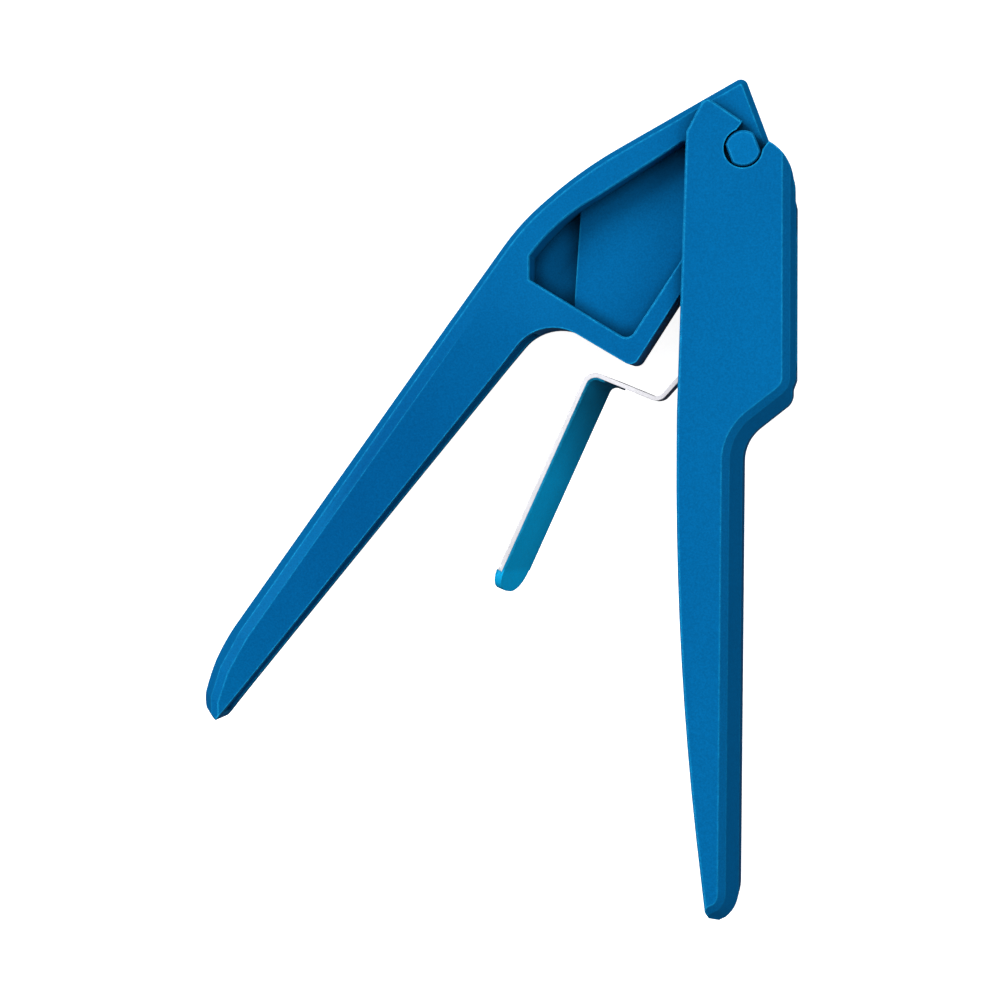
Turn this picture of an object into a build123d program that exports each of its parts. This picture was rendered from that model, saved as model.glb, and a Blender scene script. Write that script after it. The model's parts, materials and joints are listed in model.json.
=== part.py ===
"""Garlic press: two hollow handles on a quick-release hinge, with a swing-out steel sieve.

The press lies on its side. The hinge axis is +Z, the long handle runs along -Y, and z = 0 is the
outer face of the lower cheek. Outlines are drawn from the hinge axis, in millimetres. The sieve
insert is drawn in its own plane, turned back from the position where it closes the outlet.
"""
import os
from math import atan2, cos, degrees, radians, sin

from build123d import *

# ---------------------------------------------------------------- driving dimensions
HINGE_X = 53.17  # hinge axis, from the centre of the open press
HINGE_Y = 74.17

BODY_WIDTH = 26.0  # across the two cheeks
MID_Z = BODY_WIDTH / 2
CHEEK = 3.2
FACET_FLAT = 1.65  # facet beside the flat side: its width seen from the side, and its drop
FACET_FLAT_DROP = 1.3
FACET_STEEP = 2.6  # facet beside the back
FACET_STEEP_DROP = 4.4
HEAD_BACK = 11.05  # hinge axis to the back of the head
HEAD_TRIM = 1.4  # the straight back of the head takes this much off the steep facet
HOLLOW = (-0.15, -61.3)  # where the underside of the head meets the back of the grip
UNDERSIDE_SLOPE = 0.786
GRIP_BACK_END = (-0.87, -157.0)
TIP_BACK = (-3.6, -162.6)
BODY_TIP = (-5.0, -163.3)
BACK_WALL_X = 6.9  # inner face of the chamber's back wall
BACK_WALL_TOP = -10.0
CHAMBER_FLOOR = -51.4  # at the back wall, sloping down to the open side
CHAMBER_LIP = -57.0
OPEN_SIDE = -40.0  # cuts through the open side reach this far
BEND_POCKET_WIDTH = 14.8  # room for the insert's bend below the chamber floor
BEND_POCKET_FLOOR = -56.9
BODY_CHANNEL_WIDTH = 17.6
OUTLET = (31.0, 15.0)  # length along the handle, width
OUTLET_CENTRE = -31.0
EDGE_BREAK = 0.35

PIN_RADIUS = 3.8
PIN_FLAT = 3.2  # hinge axis to each flat
PIN_FLAT_ANGLE = 21.0  # direction that the flats face
PIN_INSET = 0.1
HOLE_RADIUS = 4.1
MOUTH_HALF = 3.45
MOUTH_ANGLE = 53.0  # the keyhole opens this way

PRESS_WIDTH = 18.8  # plunger head, between the cheeks
BOSS_RADIUS = 5.45
PLUNGER_ANGLE = 57.3
PLUNGER_REACH = 5.1  # hinge axis to the plane of the plunger's face
PLUNGER_LENGTH = 51.1
POCKET_DEPTH = 7.9
CORNER_POCKET_DEPTH = 11.3
WEB = 3.0
WINDOW_BREAK = 0.3
HEAD_FACET = 1.25

GRIP_ORIGIN = (-53.0, -22.44)  # on the back of the press grip; stations are measured from here
GRIP_ANGLE = 234.0  # direction of the press grip, from head to tip
GRIP_DEPTH = 15.51  # from the back to the open side at the origin
GRIP_TAPER = 0.0566
GRIP_START = 20.0  # stations along the grip
DRAFT_START = 18.0
DRAFT_END = 120.0
TIP_BENDS = ((98, 0), (106.6, 0.95), (113.2, 3.0), (116.2, 5.2), (117.2, 7.6))  # back of the tip
TIP_CORNER = 116.7
CHANNEL_CUT = 30.0

SEAT_ANGLE = 22.4  # the sieve turns this far to close the outlet
SHEET = 0.95
PLATE_X = 5.85  # mid-plane of the sieve plate
PLATE_WIDTH = 18.2
PLATE_TOP = -12.0
PLATE_BOTTOM = -48.4
STRIP_WIDTH = 12.0
STRIP_Y = -55.6  # the strip's run under the plunger
STRIP_CORNER = (3.4, STRIP_Y)  # from here a short leg slants up to the plate
BEND_RADII = (4.0, 2.2)
HOOK_RADIUS = HOLE_RADIUS + SHEET / 2
HOOK_WIDTH = 6.0
HOOK_SLOT_WIDTH = 6.8
TWIST = 18.0  # the lever's blade faces this far out of square
LEVER_BEND_X = -12.75  # bend into the lever, at its upper edge
LEVER_LEAN = 1.6  # the lever's end lies this far towards the press handle
LEVER_BEND_RADIUS = 2.6
LEVER_END_Y = -105.8
SIEVE_HOLE_RADIUS = 0.95
SIEVE_PITCH = 3.3
FACING = 0.5
CAP_LENGTH = 4.0
CAP_BACK = 0.12  # the cap is this much thinner, halved, on its back

hinge_plane = Plane(origin=(HINGE_X, HINGE_Y, 0))
mid_plane = hinge_plane.offset(MID_Z)
seat_plane = hinge_plane.rotated((0, 0, -SEAT_ANGLE))


def polar(radius, angle):
    """A point at a distance and direction from the hinge axis."""
    return (radius * cos(radians(angle)), radius * sin(radians(angle)))


# ---------------------------------------------------------------- body handle
def corner(face, x, y):
    """The sketch vertex nearest to a point drawn from the hinge axis."""
    return face.vertices().sort_by_distance((x, y, 0))[0]


def edges_near(builder, height, points):
    """The part's edges at one height that lie nearest to points drawn from the hinge axis."""
    level = builder.edges().filter_by_position(Axis.Z, height - 0.01, height + 0.01)
    return [level.sort_by_distance(hinge_plane.from_local_coords((x, y, height)))[0] for x, y in points]


def underside(x):
    """A point on the underside of the head."""
    return (x, HOLLOW[1] + UNDERSIDE_SLOPE * (x - HOLLOW[0]))


def draw_grip_back():
    """Draws the back of the grip, from the hollow below the head to the tip."""
    Line(HOLLOW, GRIP_BACK_END)
    ThreePointArc(GRIP_BACK_END, (-1.6, -160.1), TIP_BACK)
    Line(TIP_BACK, BODY_TIP)


def cheek_outline():
    """Side outline of the body handle: ear, hinge mouth, head, and grip."""
    with BuildSketch() as outline:
        with BuildLine():
            Polyline((-12.1, -1.0), (-11.9, 3.6), (-8.0, 11.1), (-0.2, 5.7), (5.4, 1.4))
            ThreePointArc((5.4, 1.4), (8.95, -1.85), (10.6, -7.5))
            Polyline((10.6, -7.5), (10.6, -9.9), (HEAD_BACK, -11.2), (HEAD_BACK, -48.3))
            Polyline((HEAD_BACK, -48.3), (10.3, -50.3), underside(10.3), HOLLOW)
            draw_grip_back()
            Polyline(BODY_TIP, (-7.0, -162.5), (-7.8, -160.9), (-8.6, -154.0))
            ThreePointArc((-8.6, -154.0), (-12.45, -113.0), (-13.87, -62.0))
            Polyline((-13.87, -62.0), (-13.8, -55.0), (-12.1, -1.0))
        make_face()
        fillet(corner(outline.sketch_local, -8.0, 11.1), radius=1.5)
        fillet(corner(outline.sketch_local, *underside(10.3)), radius=3.5)
        fillet(corner(outline.sketch_local, *HOLLOW), radius=9.0)
    return outline.sketch


def back_outline(inset):
    """The back of the body handle, drawn inwards for the facets. Only its right side shows."""
    back = HEAD_BACK + HEAD_TRIM
    with BuildSketch() as outline:
        with BuildLine():
            Polyline(BODY_TIP, (-40, -184), (-40, 30), (back, 30), underside(back), HOLLOW)
            draw_grip_back()
        make_face()
        fillet(corner(outline.sketch_local, *underside(back)), radius=7.0)
        fillet(corner(outline.sketch_local, *HOLLOW), radius=9.0)
        if inset:
            offset(amount=-inset, kind=Kind.INTERSECTION)
    return outline.sketch


STEEP_TOP = BODY_WIDTH - FACET_FLAT_DROP
STEEP_FOOT = STEEP_TOP - FACET_STEEP_DROP

with BuildPart() as body_handle:
    with BuildSketch(mid_plane):
        add(back_outline(0))
    extrude(amount=STEEP_FOOT - MID_Z)
    with BuildSketch(hinge_plane.offset(STEEP_FOOT)):
        add(back_outline(0))
    with BuildSketch(hinge_plane.offset(STEEP_TOP)):
        add(back_outline(FACET_STEEP))
    loft(ruled=True)
    with BuildSketch(hinge_plane.offset(STEEP_TOP)):
        add(back_outline(FACET_STEEP))
    with BuildSketch(hinge_plane.offset(BODY_WIDTH)):
        add(back_outline(FACET_STEEP + FACET_FLAT))
    loft(ruled=True)
    mirror(about=mid_plane)
    with BuildSketch(hinge_plane):
        add(cheek_outline())
    extrude(amount=BODY_WIDTH, mode=Mode.INTERSECT)

    # Chamber between the cheeks, open towards the plunger.
    with BuildSketch(hinge_plane.offset(CHEEK)):
        with BuildLine():
            Polyline((OPEN_SIDE, 30), (40, 30), (40, BACK_WALL_TOP), (BACK_WALL_X, BACK_WALL_TOP))
            Polyline((BACK_WALL_X, BACK_WALL_TOP), (BACK_WALL_X, CHAMBER_FLOOR), (OPEN_SIDE, CHAMBER_LIP))
            Line((OPEN_SIDE, CHAMBER_LIP), (OPEN_SIDE, 30))
        make_face()
    extrude(amount=BODY_WIDTH - 2 * CHEEK, mode=Mode.SUBTRACT)

    # Narrower pocket below it, for the bend of the insert.
    with BuildSketch(hinge_plane.offset(MID_Z - BEND_POCKET_WIDTH / 2)) as bend_pocket:
        with BuildLine():
            Polyline((OPEN_SIDE, BEND_POCKET_FLOOR), (OPEN_SIDE, -40), (BACK_WALL_X, -40))
            Polyline((BACK_WALL_X, -40), (BACK_WALL_X, BEND_POCKET_FLOOR), (OPEN_SIDE, BEND_POCKET_FLOOR))
        make_face()
        fillet(corner(bend_pocket.sketch_local, BACK_WALL_X, BEND_POCKET_FLOOR), radius=5.6)
    extrude(amount=BEND_POCKET_WIDTH, mode=Mode.SUBTRACT)

    # Channel in the grip, open towards the other handle.
    with BuildSketch(hinge_plane.offset(MID_Z - BODY_CHANNEL_WIDTH / 2)):
        with BuildLine():
            Polyline((OPEN_SIDE, -158.5), (OPEN_SIDE, -50), (-2.5, -50), (-3.3, -152), (-5.2, -158.5))
            Line((-5.2, -158.5), (OPEN_SIDE, -158.5))
        make_face()
    extrude(amount=BODY_CHANNEL_WIDTH, mode=Mode.SUBTRACT)

    # Outlet behind the sieve.
    outlet_origin = hinge_plane.from_local_coords((0, OUTLET_CENTRE, MID_Z))
    with BuildSketch(Plane(outlet_origin, x_dir=(0, 1, 0), z_dir=(1, 0, 0))):
        RectangleRounded(*OUTLET, radius=2.5)
    extrude(amount=20, mode=Mode.SUBTRACT)

    # Keyhole for the pin, through both cheeks.
    with BuildSketch(hinge_plane):
        Circle(HOLE_RADIUS)
        with Locations(polar(8, MOUTH_ANGLE)):
            Rectangle(16, 2 * MOUTH_HALF, rotation=MOUTH_ANGLE)
    extrude(amount=BODY_WIDTH, mode=Mode.SUBTRACT)

    # Broken edges round the open side and the ear.
    ear_points = [(-4, 8.3), (-7.6, 10.3), (-10, 7.4), (-12, 1)]
    rim_points = ear_points + [(-13, -28), (-13.84, -58.5), (-12.45, -113), (-8.2, -157.5)]
    for height in (0, BODY_WIDTH):
        chamfer(edges_near(body_handle, height, rim_points), length=EDGE_BREAK)


# ---------------------------------------------------------------- press handle
grip_direction = Vector(*polar(1, GRIP_ANGLE))
grip_across = Vector(*polar(1, GRIP_ANGLE + 90))
grip_origin = mid_plane.from_local_coords(GRIP_ORIGIN)
grip_plane = Plane(grip_origin, x_dir=grip_direction)


def grip_point(along, across):
    """A point on the press grip, drawn from the hinge axis."""
    point = Vector(*GRIP_ORIGIN) + grip_direction * along + grip_across * across
    return (point.X, point.Y)


def grip_front(along):
    """How far across the grip its open side lies."""
    return GRIP_DEPTH - GRIP_TAPER * along


def station(along):
    """Cross-section plane of the press grip."""
    return Plane(grip_origin + grip_direction * along, x_dir=grip_across, z_dir=grip_direction)


def side_cut(foot, steep, shoulder, flat, ridge, draft, lift=0.0):
    """Section of the cut on one side of the grip: a steep facet, a flat one, and a drafted side."""
    outside = foot - (shoulder - foot) / steep
    clear = BODY_WIDTH / 2 + 1
    facets = [(-1, clear), (lift - 1, outside), (lift + steep, shoulder), (lift + steep + flat, ridge)]
    with BuildSketch() as section:
        Polygon(*facets, (20, ridge - draft), (20, clear), align=None)
    return section.sketch


def tapered_cut(along, lift):
    """The same section between the ends of the draft, lifted where the back curves round the tip."""
    share = (along - DRAFT_START) / (DRAFT_END - DRAFT_START)
    return side_cut(
        foot=7.9 - 4.7 * share,
        steep=1.35 + 0.75 * share,
        shoulder=9.2 - 3.15 * share,
        flat=2.45 - 0.35 * share,
        ridge=9.35 - 2.4 * share,
        draft=2.42 + 1.38 * share,
        lift=lift,
    )


def channel_section(floor, width):
    """Section of the grip's channel, open on the front."""
    with BuildSketch() as section:
        with Locations((floor + CHANNEL_CUT / 2, 0)):
            Rectangle(CHANNEL_CUT, width)
    return section.sketch


def press_head_outline():
    """Side outline of the plunger head, from the hinge boss to the start of the grip."""
    boss_end = (5.79, 0.5)
    boss_middle = polar(BOSS_RADIUS, -25)
    boss_start = polar(BOSS_RADIUS, -53.4)
    apex = (0.17, 15.67)
    arm = (-34.8, -3.88)
    knee = grip_point(-9.19, 0)
    under = grip_point(3.5, grip_front(3.5))
    foot = Vector(*polar(PLUNGER_REACH, PLUNGER_ANGLE - 90))
    plunger_tip = foot - Vector(*polar(PLUNGER_LENGTH, PLUNGER_ANGLE))
    plunger_tip = (plunger_tip.X, plunger_tip.Y)
    grip_back = grip_point(GRIP_START, 0)
    grip_edge = grip_point(GRIP_START, grip_front(GRIP_START))
    with BuildSketch() as outline:
        with BuildLine():
            Polyline(boss_end, apex, arm, knee, grip_back, grip_edge, under, plunger_tip, boss_start)
            ThreePointArc(boss_start, boss_middle, boss_end)
        make_face()
        fillet(corner(outline.sketch_local, *apex), radius=1.6)
        fillet(corner(outline.sketch_local, *arm), radius=90)
        fillet(corner(outline.sketch_local, *knee), radius=50)
        fillet(corner(outline.sketch_local, *under), radius=10)
        fillet(corner(outline.sketch_local, *plunger_tip), radius=2.0)
    return outline.sketch


def window_outline():
    """Opening of the plunger frame."""
    with BuildSketch() as outline:
        with BuildLine():
            Polyline((-31.0, -9.6), (-10.5, 3.3), (-8.3, -15.7), (-24.2, -40.0))
            Polyline((-24.2, -40.0), (-45.4, -27.0), (-45.4, -22.0))
            ThreePointArc((-45.4, -22.0), (-39.4, -15.4), (-31.0, -9.6))
        make_face()
        fillet(corner(outline.sketch_local, -24.2, -40.0), radius=2.0)
        fillet(corner(outline.sketch_local, -8.3, -15.7), radius=2.0)
        fillet(corner(outline.sketch_local, -10.5, 3.3), radius=2.0)
    return outline.sketch


def corner_pocket_outline():
    """The far corner of the opening, which is deeper than the rest."""
    with BuildSketch() as outline:
        add(window_outline())
        with BuildLine():
            Polyline((-50, -5), (-35.0, -5), (-35.25, -13.2), (-36.45, -30.7), (-36.45, -40), (-50, -40))
            Line((-50, -40), (-50, -5))
        make_face(mode=Mode.INTERSECT)
    return outline.sketch


with BuildPart() as grip_sides:
    with BuildSketch(station(0)):
        add(side_cut(foot=8.15, steep=1.25, shoulder=9.45, flat=2.65, ridge=9.5, draft=-1.5))
    with BuildSketch(station(DRAFT_START)):
        add(tapered_cut(DRAFT_START, 0))
    for along, lift in TIP_BENDS:
        with BuildSketch(station(along)):
            add(tapered_cut(along, lift))
    loft(ruled=True)
    mirror(about=mid_plane)

with BuildPart() as press_handle:
    with BuildSketch(hinge_plane.offset(MID_Z - PRESS_WIDTH / 2)):
        add(press_head_outline())
    extrude(amount=PRESS_WIDTH)
    for height in (MID_Z - PRESS_WIDTH / 2, MID_Z + PRESS_WIDTH / 2):
        chamfer(edges_near(press_handle, height, [(-17, 6.07)]), length=HEAD_FACET)
    grip_edge = (GRIP_START, grip_front(GRIP_START))
    tip_corner = (TIP_CORNER, grip_front(TIP_CORNER))
    with BuildSketch(grip_plane.offset(-PRESS_WIDTH / 2)):
        with BuildLine():
            Polyline(TIP_BENDS[0], (GRIP_START, 0), grip_edge, tip_corner, TIP_BENDS[4])
            ThreePointArc(*TIP_BENDS[2:])
            ThreePointArc(*TIP_BENDS[:3])
        make_face()
    extrude(amount=PRESS_WIDTH)
    add(grip_sides.part, mode=Mode.SUBTRACT)

    # Channel in the grip, open towards the other handle.
    with BuildSketch(station(8)):
        add(channel_section(floor=3.0, width=12.4))
    with BuildSketch(station(106)):
        add(channel_section(floor=3.6, width=7.9))
    with BuildSketch(station(115)):
        add(channel_section(floor=6.7, width=7.4))
    loft(ruled=True, mode=Mode.SUBTRACT)

    # Plunger frame: pockets on both sides of a web that steps at the far corner.
    with BuildSketch(hinge_plane.offset(MID_Z + PRESS_WIDTH / 2 - POCKET_DEPTH)):
        add(window_outline())
    extrude(amount=POCKET_DEPTH, mode=Mode.SUBTRACT)
    with BuildSketch(hinge_plane.offset(MID_Z + PRESS_WIDTH / 2 - CORNER_POCKET_DEPTH)):
        add(corner_pocket_outline())
    extrude(amount=CORNER_POCKET_DEPTH, mode=Mode.SUBTRACT)
    with BuildSketch(hinge_plane.offset(MID_Z - PRESS_WIDTH / 2)):
        add(window_outline())
    extrude(amount=PRESS_WIDTH - CORNER_POCKET_DEPTH - WEB, mode=Mode.SUBTRACT)
    with BuildSketch(hinge_plane.offset(MID_Z - PRESS_WIDTH / 2)):
        add(window_outline())
        add(corner_pocket_outline(), mode=Mode.SUBTRACT)
        add(corner_pocket_outline().moved(Location((WEB, 0))), mode=Mode.SUBTRACT)
    extrude(amount=PRESS_WIDTH - POCKET_DEPTH - WEB, mode=Mode.SUBTRACT)
    long_rims = [(-20.7, -3.15), (-9.4, -6.2), (-16.2, -27.8), (-34.8, -33.5)]
    window_rims = long_rims + [(-45.4, -24.5), (-39.4, -15.4)]
    for height in (MID_Z - PRESS_WIDTH / 2, MID_Z + PRESS_WIDTH / 2):
        chamfer(edges_near(press_handle, height, window_rims), length=WINDOW_BREAK)

    # Bore for the pin, and the slot where the insert's hook turns on it.
    with BuildSketch(hinge_plane):
        Circle(PIN_RADIUS)
    extrude(amount=BODY_WIDTH, mode=Mode.SUBTRACT)
    slot_centre = Vector(*polar(5.65, PLUNGER_ANGLE - 90)) - Vector(*polar(6.0, PLUNGER_ANGLE))
    with BuildSketch(hinge_plane.offset(MID_Z - HOOK_SLOT_WIDTH / 2)):
        Circle(BOSS_RADIUS + 0.3)
        with Locations((slot_centre.X, slot_centre.Y)):
            Rectangle(14, 4.7, rotation=PLUNGER_ANGLE)
    extrude(amount=HOOK_SLOT_WIDTH, mode=Mode.SUBTRACT)


# ---------------------------------------------------------------- hinge pin
with BuildPart() as hinge_pin:
    with BuildSketch(hinge_plane.offset(PIN_INSET)):
        Circle(PIN_RADIUS)
    extrude(amount=BODY_WIDTH - 2 * PIN_INSET)
    for flat_level in (PIN_INSET, BODY_WIDTH - CHEEK - PIN_INSET):
        with BuildSketch(hinge_plane.offset(flat_level)):
            with Locations(polar(PIN_FLAT + 2, PIN_FLAT_ANGLE), polar(-PIN_FLAT - 2, PIN_FLAT_ANGLE)):
                Rectangle(4, 12, rotation=PIN_FLAT_ANGLE)
        extrude(amount=CHEEK, mode=Mode.SUBTRACT)
    chamfer(hinge_pin.faces().sort_by(Axis.Z)[-1].edges(), length=0.4)
    chamfer(hinge_pin.faces().sort_by(Axis.Z)[0].edges(), length=0.4)


# ---------------------------------------------------------------- sieve insert and lever
seat_x = seat_plane.x_dir
seat_y = seat_plane.y_dir
seat_z = seat_plane.z_dir
twist = radians(TWIST)
blade_plane = Plane(
    hinge_plane.origin,
    x_dir=seat_x * cos(twist) + seat_z * sin(twist),
    z_dir=seat_z * cos(twist) - seat_x * sin(twist),
)
STRIP_TOP_Z = MID_Z + STRIP_WIDTH / 2
STRIP_FOOT_Z = MID_Z - STRIP_WIDTH / 2
BEND_P = LEVER_BEND_X * cos(twist) + STRIP_TOP_Z * sin(twist)  # the lever's bend, across the blade
END_P = BEND_P - LEVER_LEAN


def sheet_path(points, radius):
    """Centre line of a folded sheet."""
    with BuildLine() as path:
        FilletPolyline(*points, radius=radius)
    return path.line


def strip_envelope(end_y, end_radius):
    """Trims the strip to its width and rounds the end of the lever, square to the blade."""
    blade_width = STRIP_WIDTH / cos(twist)
    blade_centre = (MID_Z - END_P * sin(twist)) / cos(twist)
    with BuildPart() as envelope:
        with BuildSketch(Plane(hinge_plane.origin, x_dir=blade_plane.z_dir, z_dir=-blade_plane.x_dir)):
            with Locations((0, end_y + end_radius + 70.3)):
                Rectangle(200, 140)
            with Locations((blade_centre, end_y + 20)):
                RectangleRounded(blade_width, 40, end_radius)
        extrude(amount=40, both=True)
        with BuildSketch(seat_plane.offset(STRIP_FOOT_Z)):
            Rectangle(400, 400)
        extrude(amount=STRIP_WIDTH, mode=Mode.INTERSECT)
    return envelope.part


with BuildPart() as lever:
    lever_line = [(2.4, STRIP_Y), (BEND_P, STRIP_Y), (END_P, LEVER_END_Y)]
    with BuildSketch(blade_plane):
        trace(sheet_path(lever_line, LEVER_BEND_RADIUS), SHEET)
    extrude(amount=32, both=True)
    add(strip_envelope(LEVER_END_Y, 4.6), mode=Mode.INTERSECT)

with BuildPart() as sieve_insert:
    with BuildSketch(seat_plane.offset(MID_Z - PLATE_WIDTH / 2)):
        with Locations((PLATE_X, (PLATE_TOP + PLATE_BOTTOM) / 2)):
            Rectangle(SHEET, PLATE_TOP - PLATE_BOTTOM)
    extrude(amount=PLATE_WIDTH)
    plate_foot = (PLATE_X, PLATE_BOTTOM - 0.4)
    bend_line = [(PLATE_X, PLATE_BOTTOM + 4), plate_foot, STRIP_CORNER, (-4.0, STRIP_Y)]
    with BuildSketch(seat_plane.offset(STRIP_FOOT_Z)):
        trace(sheet_path(bend_line, BEND_RADII), SHEET)
    extrude(amount=STRIP_WIDTH)
    hook_line = [(PLATE_X, PLATE_TOP - 2), (PLATE_X, -9.5), (HOOK_RADIUS, -3), (HOOK_RADIUS, 0)]
    with BuildSketch(seat_plane.offset(MID_Z - HOOK_WIDTH / 2)):
        trace(sheet_path(hook_line, 2), SHEET)
        with BuildLine() as hook:
            CenterArc((0, 0), HOOK_RADIUS, 0, 205)
        trace(hook.line, SHEET)
    extrude(amount=HOOK_WIDTH)
    add(lever.part)
    plate_origin = seat_plane.from_local_coords((PLATE_X - 2, OUTLET_CENTRE, MID_Z))
    with BuildSketch(Plane(plate_origin, x_dir=seat_y, z_dir=seat_x)):
        with GridLocations(SIEVE_PITCH, SIEVE_PITCH, 9, 4):
            Circle(SIEVE_HOLE_RADIUS)
    extrude(amount=4, mode=Mode.SUBTRACT)

with BuildPart() as lever_facing:
    layer = (SHEET + FACING) / 2
    facing_start = (-2.6, STRIP_Y - layer)
    facing_bend = (BEND_P + layer, STRIP_Y - layer)
    facing_end = (END_P + layer, LEVER_END_Y - FACING)
    lean_angle = degrees(atan2(LEVER_LEAN, STRIP_Y - LEVER_END_Y))
    with BuildSketch(blade_plane):
        trace(sheet_path([facing_start, facing_bend, facing_end], LEVER_BEND_RADIUS - layer), FACING)
        with Locations((END_P + CAP_BACK, LEVER_END_Y - FACING + CAP_LENGTH / 2)):
            Rectangle(SHEET + 2 * (FACING - CAP_BACK), CAP_LENGTH, rotation=-lean_angle)
    extrude(amount=32, both=True)
    add(strip_envelope(LEVER_END_Y - FACING, 5.1), mode=Mode.INTERSECT)
    add(lever.part, mode=Mode.SUBTRACT)


# ---------------------------------------------------------------- export
pieces = {
    "body_handle": body_handle,
    "press_handle": press_handle,
    "hinge_pin": hinge_pin,
    "sieve_insert": sieve_insert,
    "lever_facing": lever_facing,
}
os.makedirs("parts", exist_ok=True)
for name, piece in pieces.items():
    piece.part.label = name
    export_step(piece.part, f"parts/{name}.step")
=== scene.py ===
"""Looks for the garlic press: plastics, steel, floor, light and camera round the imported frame."""
import json

import bpy
from mathutils import Matrix, Vector


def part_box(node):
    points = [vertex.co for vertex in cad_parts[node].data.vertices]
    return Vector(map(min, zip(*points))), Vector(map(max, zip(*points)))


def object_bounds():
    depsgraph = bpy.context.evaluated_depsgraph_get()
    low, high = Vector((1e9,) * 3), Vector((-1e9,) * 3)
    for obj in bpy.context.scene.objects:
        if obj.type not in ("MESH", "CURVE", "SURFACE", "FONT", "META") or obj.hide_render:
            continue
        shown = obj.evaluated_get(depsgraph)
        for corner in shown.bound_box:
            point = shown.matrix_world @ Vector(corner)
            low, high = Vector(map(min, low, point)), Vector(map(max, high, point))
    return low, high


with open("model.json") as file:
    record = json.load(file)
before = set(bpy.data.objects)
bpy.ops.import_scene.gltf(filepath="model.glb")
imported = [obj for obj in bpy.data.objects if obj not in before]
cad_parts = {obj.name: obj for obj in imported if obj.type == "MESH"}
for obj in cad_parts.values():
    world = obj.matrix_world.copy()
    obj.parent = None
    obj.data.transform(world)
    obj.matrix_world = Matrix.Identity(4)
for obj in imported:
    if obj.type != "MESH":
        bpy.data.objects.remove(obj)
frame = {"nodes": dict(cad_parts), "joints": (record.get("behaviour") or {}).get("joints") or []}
CAD_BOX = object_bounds()

NODES = frame["nodes"]
HINGE = Vector(frame["joints"][0]["pos_m"])
GRIP_START = (HINGE.x - 0.0530, HINGE.y - 0.0224, 0.0)  # where the press handle's grip leaves its head
GRIP_DIRECTION = (-0.5878, -0.8090, 0.0)
LEVER_TIP, LEVER_FOLD = (corner.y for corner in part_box("lever_facing"))
WHITE = (1.0, 1.0, 1.0, 1.0)

# Sockets that Blender's colour mix node only tells apart by number.
MIX_FACTOR, MIX_A, MIX_B = 0, 6, 7
MIX_RESULT = 2


# ---------------------------------------------------------------- node helpers
class Nodes:
    """A small wrapper that adds and links nodes in one material.

    A source is a (node, output) pair.
    """

    def __init__(self, name):
        self.material = bpy.data.materials.new(name)
        self.material.use_nodes = True
        self.tree = self.material.node_tree
        self.tree.nodes.clear()
        self.output = self.add("ShaderNodeOutputMaterial")
        self.shader = self.add("ShaderNodeBsdfPrincipled")
        self.link((self.shader, "BSDF"), self.output, "Surface")
        self.place = self.add("ShaderNodeTexCoord")

    def add(self, kind, **settings):
        node = self.tree.nodes.new(kind)
        for key, value in settings.items():
            setattr(node, key, value)
        return node

    def link(self, source, target, socket):
        node, output = source
        self.tree.links.new(node.outputs[output], target.inputs[socket])

    def feed(self, node, sockets):
        """Links each source to its socket, and sets each number or colour on it."""
        for socket, value in sockets.items():
            if isinstance(value, tuple) and isinstance(value[0], bpy.types.Node):
                self.link(value, node, socket)
            else:
                node.inputs[socket].default_value = value

    def stretched(self, scale):
        """Object coordinates, stretched for a grain that has a direction."""
        mapping = self.add("ShaderNodeMapping")
        mapping.inputs["Scale"].default_value = scale
        self.link((self.place, "Object"), mapping, "Vector")
        return (mapping, "Vector")

    def noise(self, scale, detail, roughness, coordinates=None):
        node = self.add("ShaderNodeTexNoise")
        node.inputs["Scale"].default_value = scale
        node.inputs["Detail"].default_value = detail
        node.inputs["Roughness"].default_value = roughness
        self.link(coordinates or (self.place, "Object"), node, "Vector")
        return (node, "Fac")

    def ranged(self, source, low, high, to_low=0.0, to_high=1.0):
        node = self.add("ShaderNodeMapRange")
        limits = {"From Min": low, "From Max": high, "To Min": to_low, "To Max": to_high}
        self.feed(node, {"Value": source, **limits})
        return (node, "Result")

    def spread(self, noise, to_low=0.0, to_high=1.0):
        """The usual reach of a noise, spread over a range."""
        return self.ranged(noise, 0.3, 0.7, to_low, to_high)

    def maths(self, operation, *values):
        node = self.add("ShaderNodeMath", operation=operation)
        self.feed(node, dict(enumerate(values)))
        return (node, "Value")

    def blend(self, factor, a, b, mode="MIX"):
        """Colour a turned into colour b by a factor."""
        node = self.add("ShaderNodeMix", data_type="RGBA", blend_type=mode)
        self.feed(node, {MIX_FACTOR: factor, MIX_A: a, MIX_B: b})
        return (node, MIX_RESULT)

    def multiplied(self, a, b):
        return self.blend(1.0, a, b, "MULTIPLY")

    def axis(self, output, letter):
        """One axis of the object's coordinates or normals."""
        parts = self.add("ShaderNodeSeparateXYZ")
        self.link((self.place, output), parts, "Vector")
        return (parts, letter)

    def rounded(self, radius):
        node = self.add("ShaderNodeBevel", samples=4)
        node.inputs["Radius"].default_value = radius
        return (node, "Normal")

    def edges(self, radius, low, high):
        """How close a point is to an edge, from 0 to 1."""
        geometry = self.add("ShaderNodeNewGeometry")
        turned = self.add("ShaderNodeVectorMath", operation="DOT_PRODUCT")
        self.feed(turned, {0: self.rounded(radius), 1: (geometry, "True Normal")})
        return self.ranged((turned, "Value"), 1.0 - low, 1.0 - high)

    def relief(self, layers, radius):
        """Stacks height layers, each (source, depth in metres), over a slightly rounded edge."""
        normal = self.rounded(radius)
        for height, depth in layers:
            bump = self.add("ShaderNodeBump")
            self.feed(bump, {"Distance": depth, "Height": height, "Normal": normal})
            normal = (bump, "Normal")
        self.link(normal, self.shader, "Normal")


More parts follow.
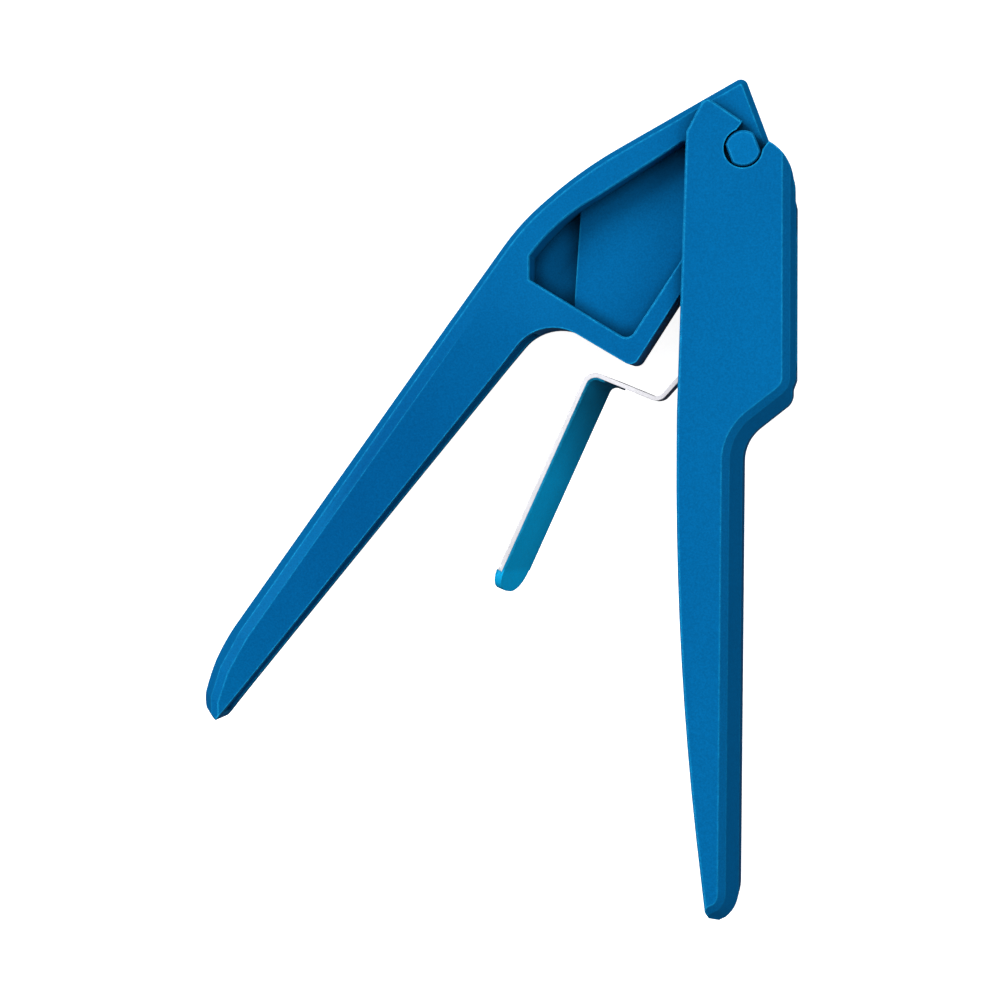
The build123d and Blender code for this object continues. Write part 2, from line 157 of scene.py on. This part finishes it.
# ---------------------------------------------------------------- materials
def grip_painted_shade(n):
    """Painted shade: the broad faces of the press grip darken towards its end, as if tilted away from the
    light.
    """
    # Painted shade tone, multiplied into the broad faces towards the grip's end.
    grip_shade_tone = (0.5, 0.60, 0.73, 1.0)
    offset = n.add("ShaderNodeVectorMath", operation="SUBTRACT")
    n.feed(offset, {0: (n.place, "Object"), 1: GRIP_START})
    along = n.add("ShaderNodeVectorMath", operation="DOT_PRODUCT")
    n.feed(along, {0: (offset, "Vector"), 1: GRIP_DIRECTION})
    reach = n.ranged((along, "Value"), -0.005, 0.075)
    broad = n.ranged(n.maths("ABSOLUTE", n.axis("Normal", "Z")), 0.972, 0.99)
    return n.blend(n.maths("MULTIPLY", reach, broad), WHITE, grip_shade_tone)


def lever_shade_and_highlight(n):
    """Painted shade in the fold under the plunger, darker along the upper edge, and a painted highlight
    on the cap at the tip.
    """
    cap_highlight_tone = (1.2, 1.2, 1.2, 1.0)
    place = n.axis("Object", "Y")
    # Painted shade: darker in the fold, where the plunger above shades the lever.
    fold = n.ranged(place, LEVER_FOLD - 0.0053, LEVER_FOLD - 0.0223, 0.40, 1.0)
    # Painted highlight: brighter on the cap at the tip.
    cap = n.ranged(place, LEVER_TIP + 0.0054, LEVER_TIP + 0.0041)
    upper_edge = n.ranged(n.axis("Normal", "Z"), 0.4, 0.6, 1.0, 0.42)
    return n.multiplied(fold, n.blend(cap, upper_edge, cap_highlight_tone))


def moulded_plastic(name, base, light, edge_tone, roughness=0.42, painted_shading=None):
    """Opaque moulded plastic with a fine spark-eroded grain and faint flow marks, painted shade in its
    crevices, a patchy painted tone along its edges and optional painted light and shade multiplied in.
    """
    n = Nodes(name)
    flow = n.noise(scale=38.0, detail=4.0, roughness=0.55, coordinates=n.stretched((1.0, 0.35, 1.0)))
    smear = n.noise(scale=120.0, detail=3.0, roughness=0.6, coordinates=n.stretched((1.0, 0.4, 1.0)))
    grain = n.noise(scale=2600.0, detail=2.0, roughness=0.6)
    pits = n.noise(scale=900.0, detail=3.0, roughness=0.65)
    crevice = n.add("ShaderNodeAmbientOcclusion", samples=6)
    crevice.inputs["Distance"].default_value = 0.004
    openness = (crevice, "AO")

    colour = n.multiplied(n.blend(n.spread(flow), base, light), n.spread(grain, 0.86, 1.12))
    # Painted light and shade, multiplied into the colour when given.
    if painted_shading is not None:
        colour = n.multiplied(colour, painted_shading(n))
    # Painted shade: the colour is darkened where the AO node finds the surface hemmed in, in corners,
    # recesses and creases.
    colour = n.multiplied(colour, n.ranged(openness, 0.3, 0.85, 0.18, 1.0))
    # Painted highlight along edges, in patches like rubbing and kept out of the hollows; on the lever
    # facing this edge tone is darker instead.
    edge = n.edges(radius=0.0006, low=0.004, high=0.12)
    patches = n.ranged(pits, 0.42, 0.62, 0.45, 1.0)
    patchy_edge = n.maths("MULTIPLY", edge, patches)
    open_edge = n.maths("MULTIPLY", patchy_edge, n.ranged(openness, 0.7, 0.9))
    colour = n.blend(n.maths("MULTIPLY", open_edge, 0.9), colour, edge_tone)
    n.link(colour, n.shader, "Base Color")

    gloss = n.spread(smear, roughness - 0.05, roughness + 0.07)
    n.link(n.maths("ADD", gloss, n.spread(grain, -0.04, 0.05)), n.shader, "Roughness")
    n.relief([(flow, 0.00002), (pits, 0.000015), (grain, 0.00002)], radius=0.0003)
    n.shader.inputs["IOR"].default_value = 1.49
    n.shader.inputs["Specular IOR Level"].default_value = 0.1
    n.shader.inputs["Specular Tint"].default_value = (0.04, 0.45, 0.85, 1.0)
    return n.material


def sheet_steel(name):
    """Stainless sheet, brushed along the strip, with darker violet-grey edges."""
    n = Nodes(name)
    dull, bright = (0.42, 0.415, 0.44, 1.0), (0.49, 0.485, 0.51, 1.0)
    clouded, dark_edge_tone = (0.43, 0.43, 0.46, 1.0), (0.20, 0.18, 0.27, 1.0)
    brushed = n.noise(scale=900.0, detail=4.0, roughness=0.7, coordinates=n.stretched((1.0, 0.06, 1.0)))
    cloud = n.noise(scale=90.0, detail=4.0, roughness=0.6)
    pits = n.noise(scale=2200.0, detail=2.0, roughness=0.6)
    edge = n.edges(radius=0.0002, low=0.02, high=0.35)

    colour = n.blend(n.spread(brushed), dull, bright)
    colour = n.blend(n.ranged(cloud, 0.35, 0.7, 0.0, 0.3), colour, clouded)
    # Darker violet-grey colour along the edges.
    colour = n.blend(n.maths("MULTIPLY", edge, 0.8), colour, dark_edge_tone)
    n.link(colour, n.shader, "Base Color")
    n.link(n.spread(cloud, 0.24, 0.38), n.shader, "Roughness")
    n.relief([(brushed, 0.000006), (pits, 0.000005)], radius=0.0002)
    n.shader.inputs["Metallic"].default_value = 0.45
    n.shader.inputs["Anisotropic"].default_value = 0.4
    return n.material


def pale_floor(name):
    """White paper that glows, so that it comes out plain and nearly free of shadow."""
    n = Nodes(name)
    fibre = n.spread(n.noise(scale=60.0, detail=3.0, roughness=0.5))
    n.link(n.blend(fibre, (0.50, 0.50, 0.50, 1.0), (0.53, 0.53, 0.53, 1.0)), n.shader, "Base Color")
    n.shader.inputs["Roughness"].default_value = 0.9
    n.shader.inputs["Specular IOR Level"].default_value = 0.1
    n.shader.inputs["Emission Color"].default_value = WHITE
    n.shader.inputs["Emission Strength"].default_value = 0.9
    return n.material


def dress(node, material):
    """Gives a CAD node one material."""
    slots = NODES[node].data.materials
    slots.clear()
    slots.append(material)


# Base, light and edge tone of each plastic; the edge tone is a painted highlight on the handles and the
# pin, and a darker edge on the lever facing.
HANDLE_TONES = ((0.0004, 0.069, 0.194, 1.0), (0.0006, 0.079, 0.215, 1.0), (0.010, 0.30, 0.56, 1.0))
PIN_TONES = ((0.0005, 0.079, 0.218, 1.0), (0.0007, 0.090, 0.240, 1.0), (0.010, 0.26, 0.52, 1.0))
FACING_TONES = ((0.0006, 0.225, 0.455, 1.0), (0.0008, 0.255, 0.500, 1.0), (0.010, 0.20, 0.36, 1.0))

dress("body_handle", moulded_plastic("body_plastic", *HANDLE_TONES))
dress("press_handle", moulded_plastic("press_plastic", *HANDLE_TONES, painted_shading=grip_painted_shade))
dress("hinge_pin", moulded_plastic("pin_plastic", *PIN_TONES, roughness=0.36))
dress("sieve_insert", sheet_steel("sieve_steel"))
dress("lever_facing", moulded_plastic("facing_plastic", *FACING_TONES, roughness=0.36, painted_shading=lever_shade_and_highlight))


# ---------------------------------------------------------------- floor, light, camera
def square(name, half, height):
    mesh = bpy.data.meshes.new(name)
    corners = [(-half, -half, height), (half, -half, height), (half, half, height), (-half, half, height)]
    mesh.from_pydata(corners, [], [(0, 1, 2, 3)])
    made = bpy.data.objects.new(name, mesh)
    bpy.context.scene.collection.objects.link(made)
    return made


floor = square("floor", half=3.0, height=CAD_BOX[0].z - 0.0002)
floor.data.materials.append(pale_floor("pale_floor"))
floor.visible_diffuse = False  # its glow is for the camera only and throws no light up the walls
floor.visible_glossy = False


def softbox(name, position, size, watts):
    """A square lamp that shines on the middle of the object."""
    data = bpy.data.lights.new(name, "AREA")
    data.shape = "SQUARE"
    data.size = size
    data.energy = watts
    lamp = bpy.data.objects.new(name, data)
    bpy.context.scene.collection.objects.link(lamp)
    lamp.location = position
    lamp.rotation_mode = "QUATERNION"
    lamp.rotation_quaternion = (-Vector(position)).to_track_quat("-Z", "Y")


softbox("key", (-0.80, 0.58, 1.00), size=0.75, watts=30.0)
softbox("fill", (0.85, -0.20, 0.85), size=0.9, watts=9.0)
softbox("top", (0.10, 0.35, 1.30), size=0.8, watts=5.0)

# A sky that is brighter above than below.
world = bpy.data.worlds.new("studio")
world.use_nodes = True
sky = world.node_tree
background = sky.nodes["Background"]
background.inputs["Color"].default_value = WHITE
direction = sky.nodes.new("ShaderNodeTexCoord")
parts = sky.nodes.new("ShaderNodeSeparateXYZ")
height = sky.nodes.new("ShaderNodeMapRange")
for socket, value in (("From Min", -0.4), ("From Max", 0.6), ("To Min", 0.03), ("To Max", 0.36)):
    height.inputs[socket].default_value = value
sky.links.new(direction.outputs["Generated"], parts.inputs["Vector"])
sky.links.new(parts.outputs["Z"], height.inputs["Value"])
sky.links.new(height.outputs["Result"], background.inputs["Strength"])
bpy.context.scene.world = world
bpy.context.scene.view_settings.view_transform = "Standard"

# The camera is over the +X side and looks down and a little towards -X, with +Y up the picture.
camera_data = bpy.data.cameras.new("camera")
camera_data.sensor_width = 36.0
camera_data.lens = 102.6
camera_data.clip_start = 0.01
camera_data.clip_end = 20.0
camera = bpy.data.objects.new("camera", camera_data)
bpy.context.scene.collection.objects.link(camera)
bpy.context.scene.camera = camera
forward = Vector((-0.12184, -0.02105, -0.99233)).normalized()
right = Vector((-forward.z, 0.0, forward.x)).normalized()
up = right.cross(forward)
turn = Matrix((right, up, -forward)).transposed().to_4x4()
place = Matrix.Translation((HINGE.x + 0.02240, HINGE.y - 0.06114, 0.626))
camera.matrix_world = place @ turn
